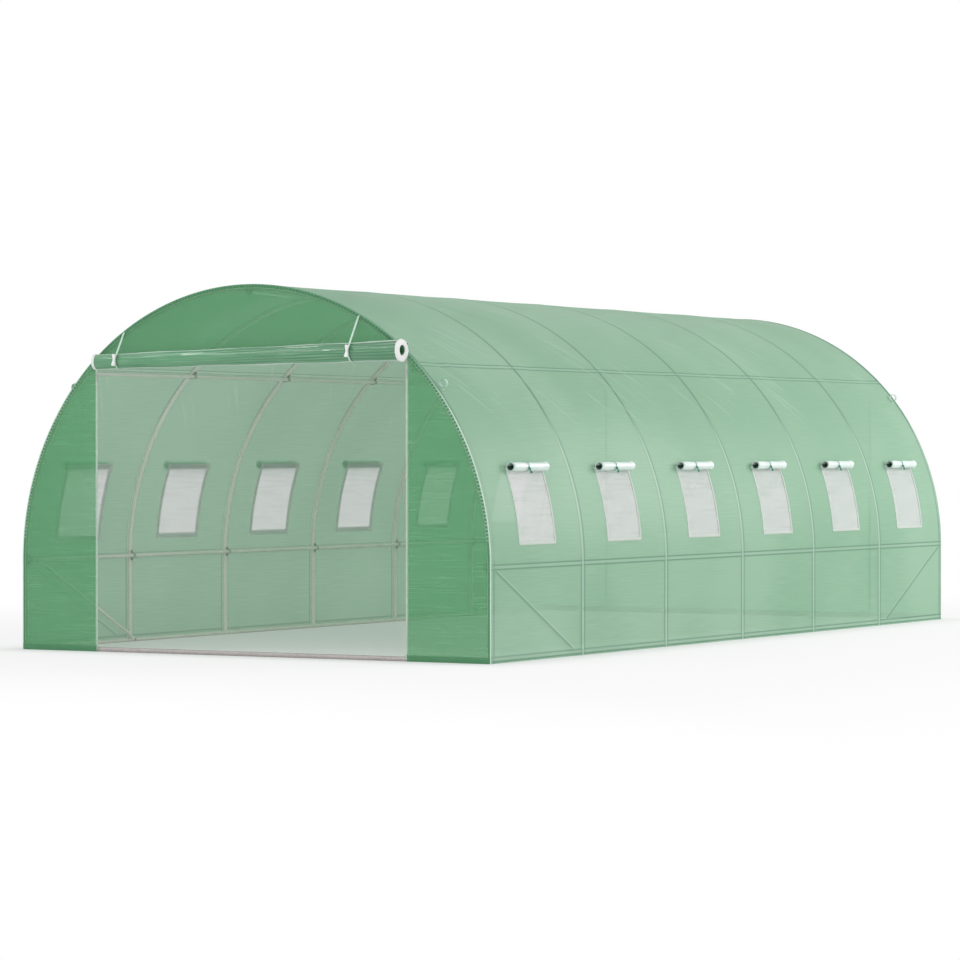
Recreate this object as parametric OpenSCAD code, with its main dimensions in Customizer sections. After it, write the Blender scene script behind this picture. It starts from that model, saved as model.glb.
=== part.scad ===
// Hooped polytunnel greenhouse: a steel tube frame under a woven sheet cover. The front door is
// rolled up and tied, the rear door is zipped shut, and each bay has a screened window on both
// sides with its flap rolled up above it.
// Millimetres. X runs across, Y from the front to the rear, Z up from the ground.

/* [Tunnel] */
// Width over the cover
tunnel_w = 3000; // [2600:20:3400]
// Length over the cover
tunnel_l = 6000; // [5000:50:7200]
// Height of the straight legs below the arch
leg_h = 500; // [400:10:600]

/* [Tube frame] */
// Diameter of the hoops and the end base rails
tube_d = 25; // [20:0.5:32]
// Diameter of the purlins, side rails and side base rails
rail_d = 22; // [16:0.5:28]
// Place of the shoulder purlins on the arch, in degrees above the leg tops
purlin_angle = 45; // [38:1:54]
// Gap between two tube ends where the swaged spigot shows
joint_gap = 5; // [3:0.5:8]
// Depth of the swage below the tube surface
joint_depth = 2; // [1:0.25:3]
// Distance of the leg joint below the leg top
leg_joint_drop = 150; // [80:5:250]
// Distance of the rail joints in front of each hoop
rail_joint_setback = 60; // [40:5:120]
// Thickness of the saddle clamps
clamp_t = 2.5; // [1.5:0.25:4]
// Width of the saddle clamps along the rail
clamp_w = 20; // [14:1:24]
// Length of each clamp ear
clamp_ear = 15; // [10:1:20]
// Diameter of the corner braces
brace_d = 18; // [14:0.5:20]
// Length of the flattened end of a brace
brace_tab_l = 34; // [26:1:45]
// Thickness of the flattened end of a brace
brace_tab_t = 3; // [2:0.25:5]
// Length over which a brace goes from flat to round
brace_swell_l = 45; // [30:1:70]
// Distance of the brace heads from the end hoops
brace_inset = 45; // [35:1:80]

/* [Cover] */
// Thickness of the cover sheet
cover_t = 2; // [1.5:0.1:3]
// Height of the wall strips over the window heads, along the cover
wall_margin = 60; // [40:5:100]
// Place of the crown strip's edges on the arch, in degrees above the leg tops
crown_angle = 67; // [60:1:75]
// Clearance between pieces that bear on each other
fit = 0.3; // [0.2:0.05:0.4]

/* [Doors] */
// Width of the end walls beside a door
jamb_w = 510; // [490:5:650]
// Distance of a door's upper corners from the edge of the arch
door_corner_gap = 20; // [10:1:60]
// Width of a zip
zip_w = 14; // [10:1:24]
// Thickness of a zip
zip_t = 3; // [2:0.25:5]

/* [Rolled door] */
// Distance of the roll's left end inside the doorway's left side
roll_left_inset = 23; // [0:1:40]
// How far the roll reaches past the doorway's right side
roll_right_reach = 10; // [0:1:20]
// Diameter of the roll at its left end
roll_left_d = 84; // [70:1:100]
// Diameter of the roll at its right end
roll_right_d = 113; // [90:1:130]
// Diameter of the hollow core at the left end
roll_core_d = 36; // [26:1:44]
// Turns in the roll
roll_turns = 6; // [4:1:8]
// Height of the roll's middle over the door opening at its left end
roll_left_rise = -5; // [-10:1:15]
// Height of the roll's middle over the door opening at its right end
roll_right_rise = 32; // [20:1:45]
// Gap behind the roll at its left end
roll_stand = 2.6; // [2.4:0.1:4]
// Height from the roll's middle up to its seam at the left end
roll_seam_rise = 22; // [15:1:35]
// Distance of the right tie from the doorway's right side
tie_right_inset = 290; // [150:10:400]
// Distance of the left tie from the doorway's left side
tie_left_inset = 180; // [150:10:400]
// Width of the webbing ties
tie_w = 12; // [8:1:20]
// Thickness of the webbing ties
tie_t = 1.5; // [1:0.1:2]
// Length of a tie's toggle
toggle_l = 58; // [35:1:70]
// Diameter of a tie's toggle
toggle_d = 15; // [10:0.5:18]

/* [Windows] */
// Width of a window
window_w = 400; // [300:10:500]
// Height of a window, along the cover
window_h = 411; // [350:5:480]
// Height of the window sills above the leg tops, along the cover
window_sill = 112; // [80:1:160]
// Overlap of a screen behind the edges of its window
screen_hem = 20; // [12:1:30]
// Thickness of a screen
screen_t = 2; // [1.5:0.1:3]
// Distance of a rolled flap's ends inside the sides of its window
flap_inset = 10; // [0:1:25]
// Diameter of a rolled window flap
flap_d = 57; // [45:1:75]
// Diameter of the hollow core of a rolled window flap
flap_core_d = 26; // [16:1:34]
// Turns in a rolled window flap
flap_turns = 3; // [2:1:4]

/* [Guy loops] */
// Place of the loops on the arch, in degrees above the leg tops
loop_angle = 39; // [30:1:44]
// Distance of the loops from the ends of the tunnel
loop_inset = 60; // [40:5:150]
// Inner diameter of a loop
loop_bore = 40; // [30:1:50]
// Thickness of a loop
loop_t = 3; // [2:0.25:4]
// Width of a loop
loop_w = 20; // [12:1:30]
// Length of the patch that a loop is sewn to
loop_patch_l = 56; // [50:1:80]

/* [Hidden] */

$fn = 96;
hull_fn = 32;
steel = [0.80, 0.80, 0.78];
clamp_steel = [0.66, 0.67, 0.67];
green_sheet = [0.42, 0.65, 0.50];
screen_white = [0.88, 0.90, 0.89];
trim_white = [0.90, 0.91, 0.88];
flap_white = [0.80, 0.89, 0.85];

// Six bays between seven hoops, and three arch tubes in each hoop
bays = 6;
arch_tubes = 3;
ridge_angle = 90;
// How far a cutting solid reaches past what it cuts
cut = 5;
// Thickness of the slices between which a brace end swells
slice = 1;
// Points on each turn of a rolled sheet
turn_steps = 20;
// Steps of a tie round the roll, and the direction, from the top round the front, in which it ends
tie_steps = 24;
tie_end = 255;

arch_r = tunnel_w / 2;
half_l = tunnel_l / 2;
inner_r = arch_r - cover_t;
cover_l = tunnel_l - 2 * cover_t;
front_face = -half_l + cover_t;
rear_face = half_l;
door_w = tunnel_w - 2 * jamb_w;
door_h = leg_h + sqrt(pow(arch_r - door_corner_gap, 2) - pow(door_w / 2, 2));
roll_left = roll_left_inset - door_w / 2;
roll_right = door_w / 2 + roll_right_reach;
roll_l = roll_right - roll_left;
tie_right_x = door_w / 2 - tie_right_inset;
tie_left_x = tie_left_inset - door_w / 2;
hoop_r = inner_r - fit - tube_d / 2;
rail_r = hoop_r - tube_d / 2 - fit - rail_d / 2;
rail_end = half_l - cover_t - fit;
end_y = rail_end - tube_d / 2;
bay_l = 2 * end_y / bays;
brace_x = rail_r - rail_d / 2 - fit;
brace_foot_z = max(rail_d, brace_d) / 2;
// How far an ear of a clamp would run into the hoop's curve if it lay on the hoop
ear_reach = rail_d / 2 + fit + clamp_t + clamp_ear;
ear_sag = ear_reach * ear_reach / (2 * hoop_r);
sill_angle = degrees_of(window_sill, arch_r);
head_angle = degrees_of(window_sill + window_h, arch_r);
hem_angle = degrees_of(screen_hem, arch_r);
wall_angle = degrees_of(window_sill + window_h + wall_margin, arch_r);
flap_l = window_w - 2 * flap_inset;
roll_tilt = atan((roll_right_rise - roll_left_rise) / roll_l);
front_reach = max(toggle_reach(tie_right_x), toggle_reach(tie_left_x), roll_reach(roll_right));
// The origin is under the middle of everything, the rolled door and the rear zips included
origin_shift = (front_reach - zip_t) / 2;

function degrees_of(arc, r) = arc / r * 180 / PI;
function hoop_y(i) = -end_y + i * bay_l;
function window_y(bay) = hoop_y(bay) + bay_l / 2;
function arch_z(x) = leg_h + sqrt(arch_r * arch_r - x * x);
function roll_scale(x) = 1 + (roll_right_d / roll_left_d - 1) * (x - roll_left) / roll_l;
function roll_r(x) = roll_scale(x) * roll_left_d / 2;
function roll_gap(x) = roll_scale(x) * roll_stand;
function roll_z(x) = door_h + roll_left_rise + (x - roll_left) * tan(roll_tilt);
function roll_reach(x) = fit + roll_gap(x) + 2 * roll_r(x);
function toggle_reach(x) = roll_reach(x) + fit + tie_t / 2 + toggle_d;
function polar(r, a) = [r * cos(a), r * sin(a)];

// Outline of a sheet wound into a roll that lies on the x axis, stood off it, with its outer end
// brought down to the axis at rise
function wound_sheet(core, outer, t, turns, stand, rise) =
    let (
        n = turns * turn_steps,
        middle = [0, stand + outer],
        inner_face = [for (k = [0 : n]) core + (outer - t - core) * k / n],
        turned = [for (k = [0 : n]) -90 + 360 * turns * (k / n - 1)]
    )
    concat(
        [for (k = [0 : n]) middle + polar(inner_face[k] + t, turned[k])],
        rise > 0 ? [[rise, 0], [rise, t]] : [],
        [for (k = [n : -1 : 0]) middle + polar(inner_face[k], turned[k])]
    );

// Side view of a door tie: taut from the arch seam to the roll, over it and round under it
function tie_outline(x) =
    let (
        middle = [0, roll_gap(x) + roll_r(x)],
        band_r = roll_r(x) + fit,
        top = arch_z(abs(x) + tie_w / 2) - roll_z(x),
        back = [top, 0] - middle,
        start = atan2(back[1], back[0]) + acos(band_r / norm(back)),
        turned = [for (k = [0 : tie_steps]) start + (tie_end - start) * k / tie_steps]
    )
    concat(
        [[top, 0]],
        [for (k = [0 : tie_steps]) middle + polar(band_r, turned[k])],
        [for (k = [tie_steps : -1 : 0]) middle + polar(band_r + tie_t, turned[k])],
        [[top, tie_t]]
    );

module placed() {
    translate([0, origin_shift, 0])
        children();
}

module on_left() {
    mirror([1, 0, 0])
        children();
}

module both_sides() {
    children();
    on_left()
        children();
}

module along_y(y) {
    translate([0, y, 0])
        rotate([-90, 0, 0])
            children();
}

// Turns a profile, drawn with its radius along x, around the tunnel's axis
module around_arch(from, to) {
    translate([0, 0, leg_h])
        rotate([90, 0, 0])
            rotate([0, 0, from])
                rotate_extrude(angle = to - from)
                    children();
}

// Stands children on a circle around the tunnel's axis, with x pointing outwards
module at_arch(r, angle) {
    translate([0, 0, leg_h])
        rotate([0, -angle, 0])
            translate([r, 0, 0])
                children();
}

// Draws a flat profile across the front wall: its x runs up the wall and its y outwards
module across_front() {
    rotate([0, 90, 0])
        rotate([0, 0, 180])
            children();
}

// Draws a flat profile across the arch: its x runs up the arch and its y outwards
module across_arch(w) {
    rotate([0, 0, 180])
        rotate([90, 0, 0])
            rotate([0, 0, 90])
                linear_extrude(w, center = true)
                    children();
}

// Ring cut out of a tube where two lengths meet and the swaged spigot shows
module joint_groove(d) {
    difference() {
        cylinder(d = d + cut, h = joint_gap, center = true);
        cylinder(d = d - 2 * joint_depth, h = joint_gap + cut, center = true);
    }
}

// One hoop: two legs and three curved tubes, joined by swaged spigots
module hoop(i) {
    color(steel)
        placed()
            translate([0, hoop_y(i), 0])
                difference() {
                    union() {
                        both_sides()
                            translate([hoop_r, 0, 0])
                                cylinder(d = tube_d, h = leg_h);
                        around_arch(0, 180)
                            translate([hoop_r, 0])
                                circle(d = tube_d);
                    }
                    both_sides()
                        translate([hoop_r, 0, leg_h - leg_joint_drop])
                            joint_groove(tube_d);
                    for (k = [1 : arch_tubes - 1])
                        at_arch(hoop_r, k * 180 / arch_tubes)
                            joint_groove(tube_d);
                }
}

// A rail in bay lengths, joined by swaged spigots just in front of the hoops
module rail_run() {
    difference() {
        along_y(-rail_end)
            cylinder(d = rail_d, h = 2 * rail_end);
        for (i = [1 : bays - 1])
            along_y(hoop_y(i) - rail_joint_setback)
                joint_groove(rail_d);
    }
}

module arch_rail(angle) {
    color(steel)
        placed()
            at_arch(rail_r, angle)
                rail_run();
}

module side_base_rail() {
    color(steel)
        placed()
            translate([rail_r, 0, rail_d / 2])
                rail_run();
}

module end_base_rail(i) {
    reach = rail_r - rail_d / 2 - fit;
    color(steel)
        placed()
            translate([-reach, hoop_y(i), tube_d / 2])
                rotate([0, 90, 0])
                    cylinder(d = tube_d, h = 2 * reach);
}

// Pressed strap over a rail, with an ear on the hoop at each side
module saddle_clamp() {
    hole_r = rail_d / 2 + fit;
    strap_r = hole_r + clamp_t;
    seat = -tube_d / 2 - fit - ear_sag;
    rail_y = -tube_d / 2 - fit - rail_d / 2;
    across_arch(clamp_w)
        difference() {
            union() {
                translate([-ear_reach, seat - clamp_t])
                    square([2 * ear_reach, clamp_t]);
                translate([-strap_r, rail_y])
                    square([2 * strap_r, seat - rail_y]);
                translate([0, rail_y])
                    circle(strap_r);
            }
            translate([0, rail_y])
                circle(hole_r);
            translate([-hole_r, rail_y])
                square([2 * hole_r, seat - rail_y + cut]);
        }
}

module clamps_at(angle) {
    for (i = [0 : bays])
        translate([0, hoop_y(i), 0])
            at_arch(hoop_r, angle)
                saddle_clamp();
}

// Flattened end of a brace: the face that bears on the rail lies on z = 0
module brace_end() {
    translate([0, 0, -brace_tab_t])
        linear_extrude(brace_tab_t)
            union() {
                circle(d = brace_d);
                translate([0, -brace_d / 2])
                    square([brace_tab_l, brace_d]);
            }
    hull() {
        translate([brace_tab_l, -brace_d / 2, -brace_tab_t])
            cube([slice, brace_d, brace_tab_t]);
        translate([brace_tab_l + brace_swell_l, 0, -brace_d / 2])
            rotate([0, 90, 0])
                cylinder(d = brace_d - 2 * fit, h = slice, $fn = hull_fn);
    }
}

// Brace in the front right bay, from the side rail down to the base rail
module brace() {
    head = [hoop_y(0) + brace_inset, leg_h];
    foot = [hoop_y(1), brace_foot_z];
    run = foot - head;
    length = norm(run);
    round_from = brace_tab_l + brace_swell_l;
    color(steel)
        translate([brace_x, head[0], head[1]])
            rotate([atan2(run[1], run[0]), 0, 0])
                rotate([90, 0, 90]) {
                    brace_end();
                    translate([round_from, 0, -brace_d / 2])
                        rotate([0, 90, 0])
                            cylinder(d = brace_d, h = length - 2 * round_from);
                    translate([length, 0, 0])
                        mirror([1, 0, 0])
                            brace_end();
                }
}

module at_rear() {
    mirror([0, 1, 0])
        children();
}

// A strip of the cover that is bent around the arch
module barrel(r, t, l, from, to) {
    around_arch(from, to)
        translate([r - t, -l / 2])
            square([t, l]);
}

module skirt() {
    color(green_sheet)
        placed()
            translate([inner_r, -cover_l / 2, 0])
                cube([cover_t, cover_l, leg_h]);
}

module wall() {
    color(green_sheet)
        placed()
            difference() {
                barrel(arch_r, cover_t, cover_l, 0, wall_angle);
                for (bay = [0 : bays - 1])
                    translate([0, window_y(bay), 0])
                        barrel(arch_r + cut, cover_t + 2 * cut, window_w, sill_angle, head_angle);
            }
}

module shoulder() {
    color(green_sheet)
        placed()
            barrel(arch_r, cover_t, cover_l, wall_angle, crown_angle);
}

module crown() {
    color(green_sheet)
        placed()
            barrel(arch_r, cover_t, cover_l, crown_angle, 2 * ridge_angle - crown_angle);
}

module end_profile() {
    translate([-arch_r, 0])
        square([tunnel_w, leg_h]);
    translate([0, leg_h])
        intersection() {
            circle(arch_r);
            translate([-arch_r, 0])
                square([tunnel_w, arch_r]);
        }
}

// A sheet of an end wall: the part of the end profile inside a flat outline
module end_sheet(outer_y) {
    color(green_sheet)
        placed()
            translate([0, outer_y, 0])
                rotate([90, 0, 0])
                    linear_extrude(cover_t)
                        intersection() {
                            end_profile();
                            children();
                        }
}

module beside_door() {
    translate([door_w / 2, 0])
        square([arch_r - door_w / 2, leg_h + arch_r]);
}

module over_door() {
    translate([-door_w / 2, door_h])
        square([door_w, leg_h + arch_r - door_h]);
}

module rear_door() {
    end_sheet(rear_face)
        translate([-door_w / 2, 0])
            square([door_w, door_h]);
}

// Sheet of the front door, wound up loosely and thicker towards its right end
module front_door_roll() {
    color(green_sheet)
        placed()
            translate([roll_left, -half_l - fit, roll_z(roll_left)])
                rotate([0, -roll_tilt, 0])
                    across_front()
                        linear_extrude(roll_l, scale = roll_right_d / roll_left_d)
                            polygon(wound_sheet(
                                roll_core_d / 2, roll_left_d / 2, cover_t,
                                roll_turns, roll_stand, roll_seam_rise
                            ));
}

// Webbing from the arch seam over the roll, closed by a toggle in front
module door_tie(x) {
    front = roll_reach(x) + tie_t / 2 + toggle_d / 2;
    translate([x, -half_l - fit, roll_z(x)])
        across_front()
            linear_extrude(tie_w, center = true)
                polygon(tie_outline(x));
    translate([x, -half_l - fit - front, roll_z(x) - toggle_l / 2])
        cylinder(d = toggle_d, h = toggle_l);
}

module front_door_ties() {
    color(trim_white)
        placed() {
            door_tie(tie_right_x);
            door_tie(tie_left_x);
        }
}

module front_zips() {
    color(trim_white)
        placed()
            both_sides()
                translate([door_w / 2, -half_l - zip_t, 0])
                    cube([zip_w, zip_t, door_h]);
}

module rear_zips() {
    color(trim_white)
        placed()
            both_sides()
                translate([door_w / 2 - zip_w / 2, half_l, 0])
                    cube([zip_w, zip_t, door_h]);
}

module window_screens() {
    color(screen_white)
        placed()
            for (bay = [0 : bays - 1])
                translate([0, window_y(bay), 0])
                    barrel(
                        inner_r - fit, screen_t, window_w + 2 * screen_hem,
                        sill_angle - hem_angle, head_angle + hem_angle
                    );
}

// Window flaps wound up to the heads of their windows
module window_flaps() {
    color(flap_white)
        placed()
            for (bay = [0 : bays - 1])
                translate([0, window_y(bay), 0])
                    at_arch(arch_r + fit, head_angle)
                        across_arch(flap_l)
                            polygon(wound_sheet(
                                flap_core_d / 2, flap_d / 2, cover_t, flap_turns, 0, 0
                            ));
}

// Webbing loop that stands on the cover, sewn down along a patch
module guy_loop() {
    outer = loop_bore / 2 + loop_t;
    patch_t = loop_t - 2 * fit;
    across_arch(loop_w)
        difference() {
            union() {
                translate([-loop_patch_l / 2, 0])
                    square([loop_patch_l, patch_t]);
                translate([0, outer + fit])
                    circle(outer);
            }
            translate([0, outer + fit])
                circle(d = loop_bore);
        }
}

module guy_loops() {
    color(trim_white)
        placed()
            both_sides()
                for (y = [-half_l + loop_inset, half_l - loop_inset])
                    translate([0, y, 0])
                        at_arch(arch_r + fit, loop_angle)
                            guy_loop();
}

module saddle_clamps() {
    color(clamp_steel)
        placed() {
            both_sides() {
                clamps_at(0);
                clamps_at(purlin_angle);
            }
            clamps_at(ridge_angle);
        }
}

hoop(0);  // front_hoop
hoop(1);  // hoop_2
hoop(2);  // hoop_3
hoop(3);  // hoop_4
hoop(4);  // hoop_5
hoop(5);  // hoop_6
hoop(6);  // rear_hoop
arch_rail(ridge_angle);  // ridge_purlin
on_left() arch_rail(purlin_angle);  // left_purlin
arch_rail(purlin_angle);  // right_purlin
on_left() arch_rail(0);  // left_side_rail
arch_rail(0);  // right_side_rail
on_left() side_base_rail();  // left_base_rail
side_base_rail();  // right_base_rail
end_base_rail(0);  // front_base_rail
end_base_rail(bays);  // rear_base_rail
placed() on_left() brace();  // front_left_brace
placed() brace();  // front_right_brace
placed() at_rear() on_left() brace();  // rear_left_brace
placed() at_rear() brace();  // rear_right_brace
saddle_clamps();
on_left() skirt();  // left_skirt
skirt();  // right_skirt
on_left() wall();  // left_wall
wall();  // right_wall
on_left() shoulder();  // left_shoulder
shoulder();  // right_shoulder
crown();
on_left() end_sheet(front_face) beside_door();  // front_left_panel
end_sheet(front_face) beside_door();  // front_right_panel
end_sheet(front_face) over_door();  // front_top_panel
on_left() end_sheet(rear_face) beside_door();  // rear_left_panel
end_sheet(rear_face) beside_door();  // rear_right_panel
end_sheet(rear_face) over_door();  // rear_top_panel
rear_door();
front_door_roll();
front_door_ties();
front_zips();
rear_zips();
on_left() window_screens();  // left_window_screens
window_screens();  // right_window_screens
on_left() window_flaps();  // left_window_flaps
window_flaps();  // right_window_flaps
guy_loops();
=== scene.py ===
"""Looks of the hooped polytunnel: woven cover, rolled door and flaps, screens, zips, trim and finishes."""

import math
import random

import bmesh
import bpy
from mathutils import Matrix, Vector


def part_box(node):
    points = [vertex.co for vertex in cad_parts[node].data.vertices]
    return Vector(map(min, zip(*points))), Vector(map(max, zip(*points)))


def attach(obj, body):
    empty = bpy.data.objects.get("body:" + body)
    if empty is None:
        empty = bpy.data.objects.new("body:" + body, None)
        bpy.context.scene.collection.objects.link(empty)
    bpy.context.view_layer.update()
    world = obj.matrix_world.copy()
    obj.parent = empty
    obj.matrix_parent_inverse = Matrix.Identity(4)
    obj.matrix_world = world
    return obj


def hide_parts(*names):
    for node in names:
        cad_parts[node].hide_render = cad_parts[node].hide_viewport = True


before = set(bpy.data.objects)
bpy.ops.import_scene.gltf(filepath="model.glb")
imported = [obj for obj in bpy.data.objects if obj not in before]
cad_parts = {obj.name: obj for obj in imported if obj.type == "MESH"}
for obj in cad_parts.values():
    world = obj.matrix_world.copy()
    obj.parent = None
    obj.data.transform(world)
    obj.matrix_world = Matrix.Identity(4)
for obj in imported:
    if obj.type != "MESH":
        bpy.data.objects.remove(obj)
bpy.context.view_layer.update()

# The tunnel's own measures, read off the frame, in metres
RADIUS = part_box("right_skirt")[1].x
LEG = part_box("right_skirt")[1].z
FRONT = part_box("front_top_panel")[0].y
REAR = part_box("rear_top_panel")[1].y
MID_Y = (FRONT + REAR) / 2
HALF_L = (REAR - FRONT) / 2
DOOR_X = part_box("front_top_panel")[1].x
DOOR_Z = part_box("front_top_panel")[0].z
HOOPS = ["front_hoop", "hoop_2", "hoop_3", "hoop_4", "hoop_5", "hoop_6", "rear_hoop"]
HOOP_Y = [sum(corner.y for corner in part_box(name)) / 2 for name in HOOPS]
BAY = HOOP_Y[1] - HOOP_Y[0]
WINDOW_Y = [y + BAY / 2 for y in HOOP_Y[:-1]]
ARC = math.pi * RADIUS
GIRTH = 2 * LEG + ARC

# The two ends with the way that each faces, and the two sides
ENDS = ((FRONT, -1), (REAR, 1))
SIDES = {-1: "left", 1: "right"}

# Gap between pieces that bear on each other, and how near two places count as one
FIT = 0.0003
NEAR = 0.001

# Sheets, hems and seams
SHEET_T = 0.0012
SHEET_ANGLE = 60
SAG = 0.003
GROUND_HEM = 0.034
HEM_TURN = 0.003
HEM_T = 0.0009
EDGE_SEAM = 0.018
EDGE_SEAM_STITCH = 0.013
WALL_HEM = 0.019
WALL_HEM_INSET = 0.002
WALL_HEM_OUT = 0.0007
STITCH_L, STITCH_R = 0.0066, 0.00075
STITCH_PITCH = 0.0115
CLOSE_PITCH = 0.0085
LACING_L, LACING_R = 0.0150, 0.0036
LACING_PITCH = 0.020
LACING_INSET = 0.0075
LACING_START = LEG + 0.12
PIPING_R = 0.0036
PIPING_IN = 0.001

# Part of the roof that is modelled finest
ROOF_LOW = LEG + 0.75
ROOF_HIGH = LEG + 1.75

# Windows; heights are lengths up the cover from the ground
WINDOW_W = 0.400
SILL = LEG + 0.112
HEAD = LEG + 0.523
SCREEN_HEM = 0.020
SCREEN_T = 0.0006
SCREEN_BACK = 0.0017
BINDING_W = 0.014
BINDING_LAP = 0.002
BINDING_T = 0.0011
BINDING_OUT = 0.0012

# Tubes under the cover: heights of the rails, and a brace's head and lean
BASE_RAIL_Z = 0.022
PURLIN_S = LEG + RADIUS * math.pi / 4
BRACE_HEAD = (0.055, 0.490)
BRACE_LEAN = (0.887, 0.4615)

# Painted highlight along a crease in the end walls above the doorway
CREASE_X, CREASE_Z, CREASE_LEAN = 0.005, 1.960, 0.1335

# Rolled door, as the frame has it
ROLL_LOW, ROLL_HIGH = (corner.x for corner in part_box("front_door_roll"))
ROLL_L = ROLL_HIGH - ROLL_LOW
ROLL_LEFT_R = 0.042
ROLL_RIGHT_R = 0.0565
ROLL_CORE = 0.018
ROLL_TURNS = 7.25
ROLL_LEFT_RISE = -0.005
ROLL_RIGHT_RISE = 0.032
ROLL_STAND = 0.0026
ROLL_TAPE_T = 0.0012
TIE_X = (0.700, -0.810)
TIE_W, TIE_T = 0.011, 0.0013
TIE_TOGGLE = (0.064, 0.0125)

# Rolled window flaps, as the frame has them
FLAP_L = 0.380
FLAP_R = 0.0285
FLAP_CORE = 0.013
FLAP_T = 0.0020
FLAP_FLARE = 0.09
FLAP_END = 0.020
FLAP_TURNS = 3.35
# Share of a flap's length from its inner end, where its hem lies, painted near-black as shade in the roll's
# hollow
FLAP_HEM_SHADE = 0.12
FLAP_TIE_Y = -0.030
FLAP_STRAP_W, FLAP_STRAP_T = 0.006, 0.0010
FLAP_TOGGLE = (0.030, 0.0066)

# Guy loops
LOOP_ANGLE = math.radians(39)
LOOP_Y = 0.060
LOOP_R = 0.0215
LOOP_RISE = 0.0222
LOOP_W, LOOP_T = 0.019, 0.0022
PATCH_W, PATCH_T = 0.023, 0.0012
PATCH_SEAM = (0.024, 0.009)

# Zips
ZIP_TAPE_W, ZIP_TAPE_T = 0.0136, 0.0011
TOOTH = (0.0060, 0.0032, 0.0024)
TOOTH_PITCH = 0.0048

# Bolts: the clamp ears' face inside the cover, the bolts' reach along the hoop, and the brace ends
EAR_FACE_R = RADIUS - 0.0148 - 0.01558
EAR_REACH = 0.0213
CLAMP_ANGLES = (0, 45, 90, 135, 180)
BRACE_FACE_X = 1.4471
BRACE_INSET = 0.045
BRACE_FOOT_Z = 0.011


# Node trees

class Shade:
    """A socket in a material's node tree; arithmetic on it adds Math nodes."""

    def __init__(self, tree, socket=None):
        self.tree = tree
        self.socket = socket

    def node(self, kind, values=None, out=0, **settings):
        """Adds a node: its settings first, then the values or links of its sockets."""
        made = self.tree.nodes.new(kind)
        for key, value in settings.items():
            setattr(made, key, value)
        for key, value in (values or {}).items():
            if isinstance(value, Shade):
                self.tree.links.new(value.socket, made.inputs[key])
            else:
                made.inputs[key].default_value = value
        return Shade(self.tree, made.outputs[out])

    def output(self, index):
        return Shade(self.tree, self.socket.node.outputs[index])

    def math(self, operation, *values):
        return self.node("ShaderNodeMath", dict(enumerate(values)), operation=operation)

    def __add__(self, other):
        return self.math("ADD", self, other)

    def __sub__(self, other):
        return self.math("SUBTRACT", self, other)

    def __rsub__(self, other):
        return self.math("SUBTRACT", other, self)

    def __mul__(self, other):
        return self.math("MULTIPLY", self, other)

    def __truediv__(self, other):
        return self.math("DIVIDE", self, other)

    def __abs__(self):
        return self.math("ABSOLUTE", self)

    __radd__ = __add__
    __rmul__ = __mul__

    def least(self, other):
        return self.math("MINIMUM", self, other)

    def most(self, *others):
        made = self
        for other in others:
            made = self.math("MAXIMUM", made, other)
        return made

    def step(self, low, high):
        """Smooth rise from 0 at low to 1 at high."""
        return self.node("ShaderNodeMapRange", {0: self, 1: low, 2: high}, interpolation_type="SMOOTHSTEP")

    def span(self, start, full, fade, end):
        """1 between full and fade, with a smooth rise before and a smooth fall after."""
        return self.step(start, full) * (1 - self.step(fade, end))

    def line(self, pitch, share):
        """1 on a line of that share of the pitch, repeated along this value."""
        off = abs(self.math("FRACT", self / pitch) - 0.5)
        return 1 - off.step(share * 0.35, share * 0.65)

    def tint(self, start, end):
        """Colour that goes from start to end with this value."""
        return self.node("ShaderNodeMix", {0: self, 6: start, 7: end}, out=2, data_type="RGBA")

    def parts(self):
        """First part of a vector or colour; its outputs 1 and 2 are the others."""
        return self.node("ShaderNodeSeparateXYZ", {0: self})

    def noise(self, place, scale, detail=3.0):
        return self.node("ShaderNodeTexNoise", {"Vector": place, "Scale": scale, "Detail": detail})

    def stretched(self, first, second):
        """Noise on two coordinates that are already scaled."""
        return self.noise(self.node("ShaderNodeCombineXYZ", {0: first, 1: second}), 1.0, 0.0)

    def bump(self, strength, distance):
        return self.node("ShaderNodeBump", {"Strength": strength, "Distance": distance, "Height": self})

    def surface(self, base, rough, others):
        return self.node("ShaderNodeBsdfPrincipled", {"Base Color": base, "Roughness": rough, **others})

    def mixed(self, share, first, second):
        return self.node("ShaderNodeMixShader", {0: share, 1: first, 2: second})

    def lit(self, share, body, colour):
        """A shader of which a share shows the light that falls on its back."""
        return self.mixed(share, body, self.node("ShaderNodeBsdfTranslucent", {"Color": colour}))

    def gap(self, colour):
        return self.node("ShaderNodeBsdfTransparent", {"Color": colour})


def rgb(red, green, blue):
    return (red, green, blue, 1.0)


def between(first, second):
    """The colour half-way between two."""
    return tuple((a + b) / 2 for a, b in zip(first, second))


def new_material(name):
    made = bpy.data.materials.new(name)
    made.use_nodes = True
    made.node_tree.nodes.clear()
    return made, Shade(made.node_tree)


def put_out(made, shader, kind="ShaderNodeOutputMaterial"):
    end = made.node_tree.nodes.new(kind)
    made.node_tree.links.new(shader.socket, end.inputs["Surface"])
    return made


def object_place(shade):
    return shade.node("ShaderNodeTexCoord", out=3)


def flat_place(shade):
    """The two coordinates on the flat cloth, up it and along it, in metres."""
    up = shade.node("ShaderNodeUVMap", uv_map="UVMap").parts()
    return up, up.output(1)


def pressed_wear_and_shade(off, core, reach):
    """Pale middle and dark sides of the line over a tube under the sheet: the dark sides are painted shade,
    the pale middle is partly rub wear and partly painted light.
    """
    pale = 1 - off.step(core * 0.8, core * 1.3)
    return pale, off.span(core * 0.9, core * 1.5, reach * 0.75, reach * 1.3)


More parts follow.
